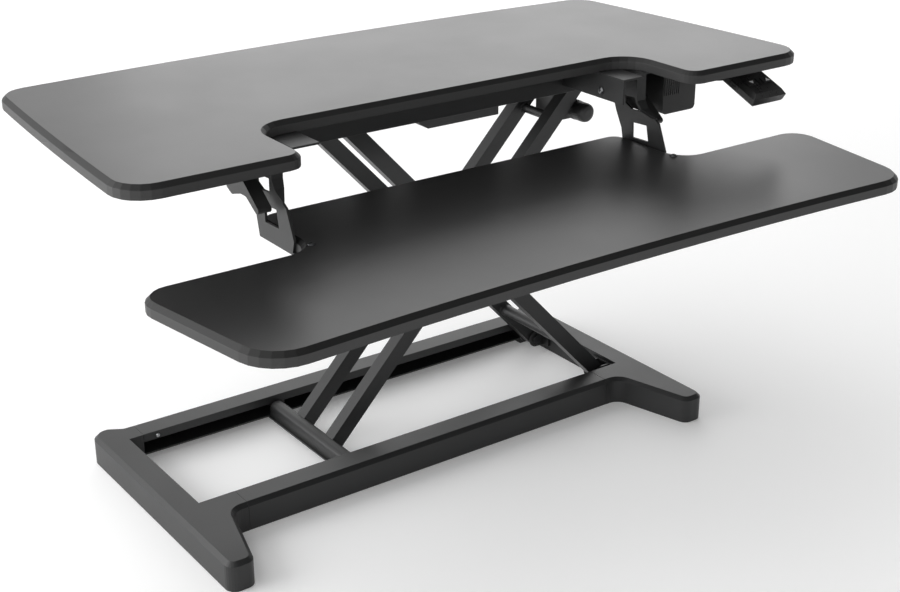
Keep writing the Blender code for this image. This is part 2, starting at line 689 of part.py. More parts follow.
def make_upper_brackets():
    """Inverted U brackets that carry the upper ends of the inner arms."""
    low, high = INNER_BAR_Y[0] - 0.0008, INNER_BAR_Y[1] + 0.0008
    top, foot = FRAME_TOP, 0.4550
    section = [(low - SHEET, foot), (low, foot), (low, top - SHEET), (high, top - SHEET),
               (high, foot), (high + SHEET, foot), (high + SHEET, top), (low - SHEET, top)]
    for side in (-1, 1):
        name = label(side, ("front", "rear"))
        bracket = prism("upper_pivot_bracket_" + name, "x", [(y * side, z) for y, z in section],
                        (0.3055, 0.3345), "powder_coat")
        hole = turned("upper_bracket_hole_" + name, "y", (PIVOT_X, UPPER_PIVOT_Z),
                      [(side * 0.018, 0), (side * 0.018, PIN_HOLE),
                       (side * 0.054, PIN_HOLE), (side * 0.054, 0)], None)
        cut(bracket, [hole])
        make_pin("upper_pivot_pin_" + name, PIVOT_X, UPPER_PIVOT_Z, side, low - SHEET, high + SHEET)


# ---- drive --------------------------------------------------------------
def make_drive():
    axis = (0, UPPER_PIVOT_Z)
    turned("actuator_tube", "x", axis,
           [(TUBE_X[0], TUBE_BORE), (TUBE_X[0], TUBE_RADIUS), (TUBE_X[1], TUBE_RADIUS),
            (TUBE_X[1], TUBE_BORE)], "powder_coat", closed=True)
    make_drive_rod(axis)
    turned("lead_screw", "x", axis,
           [(SCREW_X[0], 0), (SCREW_X[0], SCREW_RADIUS), (WHEEL_X[0], SCREW_RADIUS),
            (WHEEL_X[0], WHEEL_RADIUS), (WHEEL_X[1], WHEEL_RADIUS), (WHEEL_X[1], SCREW_RADIUS),
            (SCREW_X[1], SCREW_RADIUS), (SCREW_X[1], 0)],
           "steel", origin=(WHEEL_X[0], 0, UPPER_PIVOT_Z))
    make_gearbox(axis)
    make_motor()
    make_cable_trough()


def make_drive_rod(axis):
    """Hollow rod with the nut in its right end and an eye on the sliding axle."""
    eye_radius, half_width, eye_bore, bore_end = 0.0135, 0.0100, 0.0083, 0.0560
    nut, nut_start, start = SCREW_RADIUS + GAP, ROD_END_X - 0.016, SLIDE_X + 0.004
    rod = turned("drive_rod", "x", axis,
                 [(start, 0), (start, ROD_RADIUS), (ROD_END_X, ROD_RADIUS), (ROD_END_X, nut),
                  (nut_start, nut), (nut_start, ROD_BORE), (bore_end, ROD_BORE), (bore_end, 0)],
                 "steel", origin=(SLIDE_X, 0, UPPER_PIVOT_Z))
    eye = turned("rod_eye", "y", (SLIDE_X, UPPER_PIVOT_Z),
                 [(-half_width, 0), (-half_width, eye_radius), (half_width, eye_radius),
                  (half_width, 0)], None, origin=(0, 0, 0))
    bore = turned("rod_eye_bore", "y", (SLIDE_X, UPPER_PIVOT_Z),
                  [(-0.02, 0), (-0.02, eye_bore), (0.02, eye_bore), (0.02, 0)], None, origin=(0, 0, 0))
    weld(rod, [eye])
    cut(rod, [bore])


def make_gearbox(axis):
    """Housing open towards the right, closed by a cover plate."""
    wall, bore_radius = 0.0030, SCREW_RADIUS + 0.0005
    housing = box("gearbox_housing", GEARBOX_X, (-GEARBOX_HALF_Y, GEARBOX_HALF_Y), GEARBOX_Z, "plastic")
    inside = box("gearbox_inside", (GEARBOX_X[0] + wall, GEARBOX_X[1] + 0.001),
                 (-GEARBOX_HALF_Y + wall, GEARBOX_HALF_Y - wall),
                 (GEARBOX_Z[0] + wall, GEARBOX_Z[1] - wall + 0.0005), None)
    bore = prism("gearbox_bore", "x", circle(*axis, bore_radius),
                 (GEARBOX_X[0] - 0.001, GEARBOX_X[0] + 0.006), None)
    cut(housing, [inside, bore])
    box("gearbox_cover", (GEARBOX_X[1] + GAP, GEARBOX_X[1] + 0.0020), (-GEARBOX_HALF_Y, GEARBOX_HALF_Y),
        GEARBOX_Z, "plastic")


def make_motor():
    """Motor can along Y on the front of the gearbox, with a domed end."""
    base, tip, r = -GEARBOX_HALF_Y - GAP, MOTOR_END_Y, MOTOR_RADIUS
    dome = [(tip + 0.0075, r), (tip + 0.0035, 0.93 * r), (tip + 0.0012, 0.75 * r), (tip, 0.42 * r),
            (tip, 0)]
    turned("drive_motor", "y", (MOTOR_X, MOTOR_Z), [(base, 0), (base, r)] + dome, "plastic")


def make_cable_trough():
    """Sheet trough, open at both ends, that hangs under the actuator tube."""
    wall, half = 0.0022, TUBE_RADIUS + 0.0027
    left, right, low, high = TROUGH
    side = [(left, high), (left, low + 0.0085), (left + 0.0140, low), (right, low), (right, high)]
    trough = prism("cable_trough", "y", side, (-half, half), "powder_coat")
    inner = [(left - 0.001, high + 0.001), (left - 0.001, low + 0.0085 + wall),
             (left + 0.0140, low + wall), (right + 0.001, low + wall), (right + 0.001, high + 0.001)]
    cut(trough, [prism("trough_inside", "y", inner, (wall - half, half - wall), None)])


# ---- control box and handset --------------------------------------------
def make_control_box():
    x, y, z = BOX_X, BOX_Y, (BOX_BOTTOM, FRAME_TOP - 0.0028)
    radius = 0.006
    corners = [(x[0], z[1], 0), (x[0], z[0], radius), (x[1], z[0], radius), (x[1], z[1], 0)]
    body = prism("control_box_body", "y", rounded(corners), y, "plastic", smooth=True)
    wall = BOX_WALL
    inside = box("control_box_inside", (x[0] + wall, x[1] - wall), (y[0] + wall, y[1] - wall),
                 (z[0] + wall + 0.0035, z[1] + 0.001), None)
    cut(body, [inside])
    box("control_box_lid", x, y, (z[1] + GAP, FRAME_TOP), "plastic")
    box("control_circuit_board", (x[0] + 0.006, x[1] - 0.006), (y[0] + 0.008, y[1] - 0.008),
        (z[0] + 0.0140, z[0] + 0.0156), "circuit")


def handset_point(x, along, depth):
    """World point on the handset: distance down its face and depth below it."""
    y0, z0 = HANDSET_TOP
    c, s = math.cos(HANDSET_TILT), math.sin(HANDSET_TILT)
    return Vector((x, y0 - along * c + depth * s, z0 - along * s - depth * c))


def handset_block(name, levels, look, origin=(0, 0, 0)):
    """Body through rectangles (x span, along span, depth) at growing depth."""
    bm = bmesh.new()
    rings = []
    for x, along, depth in levels:
        corners = rectangle(x, along)
        rings.append([bm.verts.new(handset_point(px, pa, depth)) for px, pa in corners])
    for low, high in zip(rings, rings[1:]):
        for i in range(4):
            bm.faces.new((low[i - 1], low[i], high[i], high[i - 1]))
    bm.faces.new(rings[0])
    bm.faces.new(rings[-1])
    return to_object(name, bm, look, origin)


def make_handset():
    """Hand switch: a shell with bevelled sides, two rocker keys and a back cover."""
    (left, right), length, wall = HANDSET_X, HANDSET_LENGTH, 0.0020
    split, brow = HANDSET_THICKNESS - 0.0024, 0.0055
    body = handset_block("handset_body", [
        ((left + brow, right - brow), (0, length - brow), 0),
        ((left, right), (0, length), brow),
        ((left + 0.0015, right - 0.0015), (0, length - 0.001), split)], "plastic")
    inner_x, inner_a = (left + brow + wall, right - brow - wall), (wall, length - brow - wall)
    tools = [handset_block("handset_inside", [(inner_x, inner_a, wall),
                                              (inner_x, inner_a, split + 0.001)], None)]
    middle, row = (left + right) / 2, length * 0.56
    for name, offset in (("down", -0.0130), ("up", 0.0130)):
        tools.append(make_button(name, middle + offset, row))
    cut(body, tools)
    cover_x = (left + 0.0015, right - 0.0015)
    handset_block("handset_back_cover", [
        (cover_x, (0, length - 0.001), split + GAP),
        ((left + 0.0030, right - 0.0030), (0.001, length - 0.002), HANDSET_THICKNESS)], "plastic")
    board_x, board_a = (inner_x[0] + 0.001, inner_x[1] - 0.001), (0.004, length - 0.012)
    handset_block("handset_circuit_board", [(board_x, board_a, 0.0070),
                                            (board_x, board_a, 0.0084)], "circuit")


def make_button(name, centre_x, row):
    """Key with its own opening; returns the opening's cutter."""
    half_x, half_a = BUTTON_SIZE[0] / 2, BUTTON_SIZE[1] / 2
    x, along = (centre_x - half_x, centre_x + half_x), (row - half_a, row + half_a)
    handset_block("button_" + name, [(x, along, -BUTTON_PROUD), (x, along, 0.0038)], "plastic",
                  origin=handset_point(centre_x, row, 0))
    wide_x, wide_a = (x[0] - GAP, x[1] + GAP), (along[0] - GAP, along[1] + GAP)
    deep = 0.0060    # the key still has air beside it when it is pressed in
    return handset_block("button_opening_" + name, [(wide_x, wide_a, -0.002),
                                                    (wide_x, wide_a, deep)], None)


def make_handset_mount():
    """Strip screwed under the wing with a tongue that holds the handset's rear end."""
    rear_y, top, sheet = -0.2150, FRAME_TOP, 0.0020
    x = (HANDSET_X[0] + 0.008, HANDSET_X[1] - 0.008)
    drop = handset_point(0, 0, HANDSET_THICKNESS * 0.7)
    face_y = handset_point(0, 0, 0).y + 0.0085
    outline = [(rear_y, top), (rear_y, top - sheet), (face_y + sheet, top - sheet),
               (face_y + sheet, drop.z), (face_y, drop.z), (face_y, top)]
    prism("handset_mount", "x", outline, x, "powder_coat")


# ---- tray brackets and levers --------------------------------------------
def make_tray_brackets():
    """Side plates with openings, a flange under the wing and one under the tray."""
    low = TRAY_BOTTOM - GAP - SHEET
    plate = [(-0.2445, low), (-0.1750, low), (-0.1720, 0.4010), (-0.1685, 0.4170), (-0.1580, 0.4360),
             (-0.1485, 0.4580), (-0.1380, FRAME_TOP), (-0.2040, FRAME_TOP), (-0.2050, 0.4600),
             (-0.2110, 0.4500), (-0.2280, 0.4410), (-0.2350, 0.4370), (-0.2490, 0.4045)]
    lower_hole = [Vector(p) for p in ((-0.1890, 0.4090), (-0.1880, 0.4285), (-0.2140, 0.4300),
                                      (-0.2185, 0.4100))]
    upper_hole = [Vector(p) for p in ((-0.1745, 0.4500), (-0.1730, 0.4595), (-0.2010, 0.4610),
                                      (-0.2010, 0.4455), (-0.1860, 0.4445))]
    half = SHEET / 2
    for side in (-1, 1):
        name = label(side, ("left", "right"))
        outer = span(side, PLATE_X - half, PLATE_X + half)
        holes = [lower_hole, upper_hole, circle(*LEVER_PIVOT, LEVER_STEM_RADIUS + GAP, 12)]
        bracket = prism("tray_bracket_" + name, "x", plate, outer, "powder_coat", holes=holes)
        wing_flange = box("wing_flange_" + name, span(side, PLATE_X - half, PLATE_X + 0.0310),
                          (-0.2040, -0.1380), (FRAME_TOP - SHEET, FRAME_TOP), None)
        tray_flange = box("tray_flange_" + name, span(side, PLATE_X - FLANGE_REACH, PLATE_X + half),
                          (-0.2820, -0.1750), (low, low + SHEET), None)
        weld(bracket, [wing_flange, tray_flange, bracket_lip(name, side)])
        hole = circle(side * TRAY_BOLT[0], TRAY_BOLT[1], TRAY_BOLT_HOLE, 12)
        cut(bracket, [prism("flange_hole_" + name, "z", hole, (low - 0.002, low + 0.005), None)])


def bracket_lip(name, side):
    """Turned edge along the front of a side plate, widest at the wing, running out below."""
    stations = (((-0.2030, FRAME_TOP), (-0.2060, FRAME_TOP), 0.0140),
                ((-0.2040, 0.4592), (-0.2068, 0.4612), 0.0125),
                ((-0.2105, 0.4492), (-0.2130, 0.4517), 0.0100),
                ((-0.2270, 0.4398), (-0.2295, 0.4423), 0.0005))
    bm = bmesh.new()
    rings = []
    for back, front, width in stations:
        outer, inner = side * (PLATE_X + SHEET / 2), side * (PLATE_X - width)
        corners = ((outer, *back), (inner, *back), (inner, *front), (outer, *front))
        rings.append([bm.verts.new(corner) for corner in corners])
    for low, high in zip(rings, rings[1:]):
        for i in range(4):
            bm.faces.new((low[i - 1], low[i], high[i], high[i - 1]))
    bm.faces.new(rings[0])
    bm.faces.new(rings[-1])
    return to_object("bracket_lip_" + name, bm, None)


def make_levers():
    """Paddle levers beside the brackets, squeezed upwards under the wing."""
    y0, z0 = LEVER_PIVOT
    profile = [(-0.2130, 0.4280, 0.0030), (-0.2180, 0.4335, 0.0030), (-0.1660, 0.4735, 0.0080),
               (-0.1470, 0.4735, 0.0050), (-0.1470, 0.4425, 0.0040), (-0.1590, 0.4365, 0.0060),
               (-0.1790, 0.4425, 0.0060), (-0.1905, 0.4425, 0.0050)]
    for side in (-1, 1):
        name = label(side, ("left", "right"))
        origin = (side * LEVER_X[0], y0, z0)
        lever = prism("release_lever_" + name, "x", rounded(profile), span(side, *LEVER_X), "plastic",
                      origin=origin, smooth=True)
        tip, root, radius = side * (PLATE_X - 0.0030), side * (LEVER_X[0] + 0.0040), LEVER_STEM_RADIUS
        stem = turned("lever_stem_" + name, "x", LEVER_PIVOT,
                      [(tip, 0), (tip, radius), (root, radius), (root, 0)], None, steps=12)
        weld(lever, [stem])


# ---- cables ---------------------------------------------------------------
def make_cable(name, points, radius, rings=14, steps=8):
    """Round cable along a Bezier curve from the first point to the last of four."""
    a, b, c, d = points
    path = []
    for i in range(rings + 1):
        t = i / rings
        path.append(a * (1 - t) ** 3 + b * 3 * t * (1 - t) ** 2 + c * 3 * t * t * (1 - t) + d * t ** 3)
    bm = bmesh.new()
    loops = []
    for i, point in enumerate(path):
        ahead = path[min(i + 1, rings)] - path[max(i - 1, 0)]
        side = ahead.cross(Vector((0.17, 0.05, 1))).normalized()
        up = side.cross(ahead).normalized()
        loops.append([bm.verts.new(point + radius * (side * math.cos(angle) + up * math.sin(angle)))
                      for angle in (2 * math.pi * k / steps for k in range(steps))])
    for low, high in zip(loops, loops[1:]):
        for k in range(steps):
            bm.faces.new((low[k], low[(k + 1) % steps], high[(k + 1) % steps], high[k]))
    bm.faces.new(loops[0])
    bm.faces.new(loops[-1])
    return to_object(name, bm, "rubber", smooth=True)


def make_cables():
    """Motor cable from the gearbox cover to the box's back, handset cable to its front."""
    start = Vector((GEARBOX_X[1] + 0.0030, -0.0160, MOTOR_CABLE_Z))
    end = Vector((0.3210, BOX_Y[1] + 0.0005, MOTOR_CABLE_Z))
    bend, rise = Vector((0.018, 0, 0)), Vector((0, 0.022, 0))
    make_cable("motor_cable", [start, start + bend, end + rise, end], MOTOR_CABLE_RADIUS)
    start = handset_point(HANDSET_X[0] - 0.0008, 0.0060, 0.0085)
    end = Vector((0.3400, BOX_Y[0] - 0.0005, 0.4810))
    bend = Vector((-0.016, 0, 0))
    make_cable("handset_cable", [start, start + bend, end - rise, end], HANDSET_CABLE_RADIUS)


# ---- assembly -------------------------------------------------------------
def main():
    clear_scene()
    for side in (-1, 1):
        make_foot(side)
    make_base_rails()
    make_lower_brackets()
    make_arms()
    make_upper_rails()
    make_cross_members()
    make_wing_supports()
    make_upper_brackets()
    make_drive()
    make_desktop()
    make_tray()
    make_tray_brackets()
    make_levers()
    make_control_box()
    make_handset()
    make_handset_mount()
    make_cables()
    for obj in bpy.data.objects:
        obj.location.y += ORIGIN_SHIFT_Y


main()
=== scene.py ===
"""Finishes, small hardware, floor, light and camera for the standing desk converter."""
import math

import bmesh
import bpy
from mathutils import Matrix, Vector


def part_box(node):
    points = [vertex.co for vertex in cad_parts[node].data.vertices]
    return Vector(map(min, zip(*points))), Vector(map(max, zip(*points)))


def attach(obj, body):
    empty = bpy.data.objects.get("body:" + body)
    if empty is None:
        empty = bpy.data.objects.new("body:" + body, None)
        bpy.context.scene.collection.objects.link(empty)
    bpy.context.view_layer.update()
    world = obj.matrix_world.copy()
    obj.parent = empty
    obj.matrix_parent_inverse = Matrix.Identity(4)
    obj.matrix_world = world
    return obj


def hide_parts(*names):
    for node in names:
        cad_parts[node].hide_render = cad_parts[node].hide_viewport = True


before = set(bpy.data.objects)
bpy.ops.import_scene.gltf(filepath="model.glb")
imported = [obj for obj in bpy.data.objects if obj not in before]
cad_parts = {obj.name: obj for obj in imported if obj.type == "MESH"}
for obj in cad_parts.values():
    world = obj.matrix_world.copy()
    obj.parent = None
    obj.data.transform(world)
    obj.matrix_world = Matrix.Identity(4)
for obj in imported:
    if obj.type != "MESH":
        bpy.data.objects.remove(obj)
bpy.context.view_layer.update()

MM = 0.001
WELD_DISTANCE = 1e-5
SHARP_ANGLE = math.radians(38)

# finish of each CAD node by the start of its name; the last row takes all the others
FINISH_OF = [
    (("desktop_board", "keyboard_tray"), "laminate"),
    (("rubber_pad",), "rubber"),
    (("motor_cable", "handset_cable"), "cable"),
    (("tray_bolt", "rail_screw", "support_bolt"), "zinc"),
    (("lower_pivot_pin", "upper_pivot_pin", "centre_pivot_bolt"), "black_steel"),
    (("drive_rod", "lead_screw"), "dark_steel"),
    (("lower_roller", "upper_roller"), "nylon"),
    (("control_circuit", "handset_circuit"), "circuit"),
    (("handset_body", "handset_back"), "gloss_plastic"),
    (("button",), "gloss_plastic"),
    (("control_box", "gearbox", "drive_motor", "release_lever"), "plastic"),
    (("",), "powder_coat"),
]
BOARDS = ("desktop_board", "keyboard_tray")
NO_SOFT_EDGE = ("motor_cable", "handset_cable", "lead_screw", "drive_rod", "control_circuit",
                "handset_circuit")
BOARD_EDGE = 0.7 * MM
SHEET_EDGE = 0.45 * MM

# places and sizes in the CAD model that the riding pieces follow; cross tubes by their (x, z)
CENTRE_LINE_Y = 0.17171                      # middle plane of the base and the arms
OUTER_TIE, OUTER_TIE_RADIUS = (0.2618, 0.0829), 8.0 * MM
INNER_TIE, INNER_TIE_RADIUS = (0.2601, 0.3971), 6.0 * MM
UPPER_AXLE, UPPER_AXLE_RADIUS = (-0.0995, 0.4670), 8.0 * MM
OUTER_BAR_FACE = 65.0 * MM                   # from the middle plane to the bars' inner faces
INNER_BAR_FACE = 27.0 * MM
HANDSET_EDGE = Vector((0, -0.2420 + CENTRE_LINE_Y, 0.4905))
HANDSET_TILT = math.radians(22)
KEY_ROW = 33.0 * MM                          # down the slope from that edge to the keys' middle
MOTOR_CABLE_RADIUS, HANDSET_CABLE_RADIUS = 2.3 * MM, 1.9 * MM
MOTOR_CABLE_ASIDE = 16 * MM                  # from the middle plane to where it meets the gearbox
MOTOR_CABLE_X = 0.3210                       # where it meets the control box
HANDSET_CABLE_X, HANDSET_CABLE_Z = 0.3400, 0.4810
PADDLE_FRONT = Vector((0, -0.2115 + CENTRE_LINE_Y, 0.4290))
PADDLE_REAR = Vector((0, -0.1930 + CENTRE_LINE_Y, 0.4409))


# ---- shader nodes ---------------------------------------------------------
MIX_SHARE, MIX_FIRST, MIX_SECOND, MIX_RESULT = 0, 6, 7, 2    # a Mix node's colour sockets


class Shader:
    """A material under construction: nodes are added and linked by short calls."""

    def __init__(self, name):
        self.material = bpy.data.materials.new(name)
        self.material.use_nodes = True
        self.tree = self.material.node_tree
        self.surface = self.tree.nodes["Principled BSDF"]
        self.place = self.add("ShaderNodeTexCoord").outputs["Object"]

    def add(self, kind, **inputs):
        """New node; each input is a number, a colour or another node's output."""
        node = self.tree.nodes.new(kind)
        for name, value in inputs.items():
            self.feed(node.inputs[name.replace("_", " ")], value)
        return node

    def feed(self, socket, value):
        if isinstance(value, bpy.types.NodeSocket):
            self.tree.links.new(value, socket)
        else:
            socket.default_value = value

    def stretched(self, scale):
        node = self.add("ShaderNodeMapping", Vector=self.place, Scale=scale)
        return node.outputs["Vector"]

    def noise(self, scale, detail=2.0, roughness=0.5, place=None):
        node = self.add("ShaderNodeTexNoise", Vector=place or self.place, Scale=scale,
                        Detail=detail, Roughness=roughness)
        return node.outputs["Fac"]

    def cells(self, scale):
        node = self.add("ShaderNodeTexVoronoi", Vector=self.place, Scale=scale)
        return node.outputs["Distance"]

    def remap(self, value, low, high, start=0.0, end=1.0):
        """Value that runs from low to high while its input runs from start to end."""
        node = self.add("ShaderNodeMapRange", Value=value)
        for name, number in (("From Min", start), ("From Max", end), ("To Min", low), ("To Max", high)):
            node.inputs[name].default_value = number
        return node.outputs["Result"]

    def math(self, operation, a, b):
        node = self.tree.nodes.new("ShaderNodeMath")
        node.operation = operation
        self.feed(node.inputs[0], a)
        self.feed(node.inputs[1], b)
        return node.outputs[0]

    def mix(self, share, a, b):
        node = self.tree.nodes.new("ShaderNodeMix")
        node.data_type = "RGBA"
        self.feed(node.inputs[MIX_SHARE], share)
        self.feed(node.inputs[MIX_FIRST], a)
        self.feed(node.inputs[MIX_SECOND], b)
        return node.outputs[MIX_RESULT]

    def edge_mask(self, radius, start=0.02, end=0.30):
        """1 along convex edges, 0 on flats."""
        rounded = self.add("ShaderNodeBevel", Radius=radius)
        rounded.samples = 4
        flat = self.add("ShaderNodeNewGeometry").outputs["Normal"]
        dot = self.tree.nodes.new("ShaderNodeVectorMath")
        dot.operation = "DOT_PRODUCT"
        self.feed(dot.inputs[0], rounded.outputs["Normal"])
        self.feed(dot.inputs[1], flat)
        return self.remap(self.math("SUBTRACT", 1.0, dot.outputs["Value"]), 0, 1, start, end)

    def upward(self):
        """The surface's true normal along Z: 1 on tops, 0 on upright faces."""
        normal = self.tree.nodes.new("ShaderNodeSeparateXYZ")
        self.feed(normal.inputs[0], self.add("ShaderNodeNewGeometry").outputs["True Normal"])
        return normal.outputs["Z"]

    def bump(self, height, distance, strength=1.0):
        node = self.add("ShaderNodeBump", Height=height, Distance=distance, Strength=strength)
        self.feed(self.surface.inputs["Normal"], node.outputs["Normal"])

    def finish(self, colour, roughness, metallic=0.0, **extra):
        """Feed the surface's main inputs and hand over the material."""
        inputs = {"Base Color": colour, "Roughness": roughness, "Metallic": metallic}
        inputs.update({name.replace("_", " "): value for name, value in extra.items()})
        for name, value in inputs.items():
            self.feed(self.surface.inputs[name], value)
        return self.material


def grey(value, tint=0.0):
    """Neutral colour; a positive tint leans it towards blue."""
    return (value * (1 - tint), value, value * (1 + tint), 1)


# ---- finishes -------------------------------------------------------------
def laminate():
    """Black laminate: fine pebble on the tops, painted shade darkening the sloping edge faces, painted
    light on the lighter and smoother upright sides.
    """
    # the upright sides get a lighter colour as painted light and the sloping edge faces a near-black colour
    # as painted shade; speck is the laminate's own fleck
    side, chamfer_painted_shade, speck = grey(0.034), grey(0.006), grey(0.060)
    side_roughness = 0.48
    s = Shader("black_laminate")
    pebble = s.noise(1500, detail=3)
    blotch = s.noise(5, detail=4)
    fleck = s.remap(s.noise(2600, detail=1), 0, 1, 0.56, 0.74)
    top = s.mix(blotch, grey(0.017), grey(0.022))
    top = s.mix(s.math("MULTIPLY", fleck, 0.4), top, speck)
    upward = s.upward()
    flat = s.remap(upward, 0, 1, 0.85, 0.98)
    chamfer_shade_share = s.remap(upward, 0, 1, 0.10, 0.60)
    # painted light and painted shade by the face's slope: sloping edge faces darker and upright sides
    # lighter than the tops
    colour = s.mix(flat, s.mix(chamfer_shade_share, side, chamfer_painted_shade), top)
    smear = s.noise(9, detail=5, roughness=0.6)
    top_roughness = s.remap(smear, 0.325, 0.355, 0.3, 0.7)
    smoother = s.math("MULTIPLY", flat, s.math("SUBTRACT", top_roughness, side_roughness))
    roughness = s.math("ADD", smoother, side_roughness)
    s.bump(s.math("MULTIPLY", pebble, s.remap(flat, 0.35, 1.0)), 0.05 * MM, 0.55)
    return s.finish(colour, roughness, Specular_IOR_Level=s.remap(flat, 0.34, 0.48))


def powder_coat():
    """Fine-textured black powder coat, a little thinner and greyer along its edges."""
    s = Shader("black_powder_coat")
    orange_peel = s.noise(900, detail=2)
    grit = s.noise(3200, detail=2)
    height = s.math("ADD", s.math("MULTIPLY", orange_peel, 0.7), s.math("MULTIPLY", grit, 0.3))
    patch = s.noise(14, detail=4)
    base = s.mix(patch, grey(0.014, 0.02), grey(0.020, 0.02))
    wear = s.remap(s.noise(60, detail=3), 0.1, 0.9, 0.35, 0.75)
    worn = s.math("MULTIPLY", s.edge_mask(0.9 * MM), wear)
    colour = s.mix(s.math("MULTIPLY", worn, 0.55), base, grey(0.085))
    roughness = s.math("SUBTRACT", s.remap(patch, 0.36, 0.48), s.math("MULTIPLY", worn, 0.10))
    s.bump(height, 0.09 * MM, 0.6)
    return s.finish(colour, roughness, Specular_IOR_Level=0.42)


def plastic():
    """Moulded black plastic with a fine spark-eroded grain."""
    s = Shader("black_moulded_plastic")
    grain = s.noise(2400, detail=3, roughness=0.6)
    shade = s.noise(30, detail=3)
    scuffed = s.math("MULTIPLY", s.edge_mask(0.7 * MM), s.remap(s.noise(90), 0, 1, 0.4, 0.8))
    base = s.mix(shade, grey(0.011), grey(0.016))
    colour = s.mix(s.math("MULTIPLY", scuffed, 0.4), base, grey(0.05))
    s.bump(grain, 0.05 * MM, 0.5)
    return s.finish(colour, s.remap(shade, 0.40, 0.52), Specular_IOR_Level=0.5)


def gloss_plastic():
    """Satin black plastic with faint handling marks."""
    s = Shader("black_satin_plastic")
    marks = s.noise(70, detail=5, roughness=0.7)
    colour = s.mix(s.noise(25), grey(0.010), grey(0.014))
    s.bump(s.noise(2600, detail=2), 0.02 * MM, 0.35)
    return s.finish(colour, s.remap(marks, 0.22, 0.42, 0.3, 0.7), Specular_IOR_Level=0.55)


def metal(name, light, dark, roughness, tint):
    """Plated steel with fine turning marks and cloudy plating."""
    s = Shader(name)
    turned = s.noise(260, detail=3, place=s.stretched((1, 12, 12)))
    cloud = s.noise(120, detail=4)
    colour = s.mix(cloud, grey(dark, tint), grey(light, tint))
    s.bump(turned, 0.03 * MM, 0.35)
    return s.finish(colour, s.remap(cloud, roughness, roughness + 0.16), metallic=1.0)


def rubber():
    """Dull black rubber with a little dust."""
    s = Shader("black_rubber")
    dust = s.remap(s.noise(180, detail=4), 0, 1, 0.55, 0.8)
    s.bump(s.noise(1800, detail=3), 0.08 * MM, 0.6)
    return s.finish(s.mix(s.math("MULTIPLY", dust, 0.35), grey(0.009), grey(0.05)), 0.86)


def cable():
    """Soft black jacket of the cables."""
    s = Shader("black_cable_jacket")
    s.bump(s.noise(2200, detail=2), 0.03 * MM, 0.4)
    return s.finish(s.mix(s.noise(50), grey(0.010), grey(0.015)), s.remap(s.noise(300), 0.46, 0.60))


def nylon():
    """Black nylon with fine streaks."""
    s = Shader("black_nylon")
    streaks = s.noise(400, detail=3, place=s.stretched((1, 6, 1)))
    s.bump(streaks, 0.03 * MM, 0.4)
    return s.finish(s.mix(streaks, grey(0.016), grey(0.026)), s.remap(streaks, 0.34, 0.50))


def circuit():
    """Green circuit board in two shades."""
    s = Shader("circuit_board_green")
    lanes = s.remap(s.cells(420), 0, 1, 0.25, 0.30)
    colour = s.mix(lanes, (0.012, 0.090, 0.035, 1), (0.006, 0.050, 0.020, 1))
    return s.finish(colour, 0.35)


def mark_white():
    """Printed white of the arrow marks, slightly broken up like pad print."""
    s = Shader("print_white")
    return s.finish(s.mix(s.noise(900), grey(0.70), grey(0.82)), 0.5)


FINISHES = {
    "laminate": laminate(),
    "powder_coat": powder_coat(),
    "plastic": plastic(),
    "gloss_plastic": gloss_plastic(),
    "zinc": metal("zinc_plated_steel", light=0.62, dark=0.48, roughness=0.26, tint=0.02),
    "black_steel": metal("black_oxide_steel", light=0.085, dark=0.055, roughness=0.34, tint=0.03),
    "dark_steel": metal("ground_steel", light=0.30, dark=0.22, roughness=0.28, tint=0.02),
    "rubber": rubber(),
    "cable": cable(),
    "nylon": nylon(),
    "circuit": circuit(),
    "print": mark_white(),
}


# ---- CAD nodes ------------------------------------------------------------
def finish_of(name):
    return next(finish for starts, finish in FINISH_OF if name.startswith(starts))


def soften(obj, width, segments=2):
    """Round the sharp edges of a CAD node by a small radius."""
    weld = obj.modifiers.new("weld", "WELD")
    weld.merge_threshold = WELD_DISTANCE
    bevel = obj.modifiers.new("soft_edges", "BEVEL")
    bevel.width = width
    bevel.segments = segments
    bevel.limit_method = "ANGLE"
    bevel.angle_limit = SHARP_ANGLE
    bevel.harden_normals = True


def dress_nodes():
    """Give every CAD node its finish and soft edges."""
    for name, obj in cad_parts.items():
        finish = FINISHES[finish_of(name)]
        if not obj.data.materials:
            obj.data.materials.append(finish)
        for i in range(len(obj.data.materials)):
            obj.data.materials[i] = finish
        if not name.startswith(NO_SOFT_EDGE):
            soften(obj, BOARD_EDGE if name in BOARDS else SHEET_EDGE)


# ---- small pieces -----------------------------------------------------------
def place_object(name, data):
    """New object in the scene for a mesh, a light or a camera."""
    obj = bpy.data.objects.new(name, data)
    bpy.context.scene.collection.objects.link(obj)
    return obj


def make_piece(name, bm, finish, body, smooth=True):
    """Turn a mesh drawn in the scene's frame into a piece that rides on a body."""
    bmesh.ops.recalc_face_normals(bm, faces=bm.faces)
    mesh = bpy.data.meshes.new(name)
    bm.to_mesh(mesh)
    bm.free()
    for polygon in mesh.polygons:
        polygon.use_smooth = smooth
    if smooth:
        mesh.set_sharp_from_angle(angle=SHARP_ANGLE)
    mesh.materials.append(FINISHES[finish])
    obj = place_object(name, mesh)
    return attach(obj, body)


def axes_of(direction):
    """Matrix whose Z axis is the given direction."""
    return Vector(direction).to_track_quat("Z", "Y").to_matrix().to_4x4()


def ring_radius(radius, angle, hexagon):
    """Circle radius, or a hexagon's radius at this angle for a given half width."""
    if not hexagon:
        return radius
    turn = (angle + math.pi / 6) % (math.pi / 3) - math.pi / 6
    return radius / math.cos(turn)


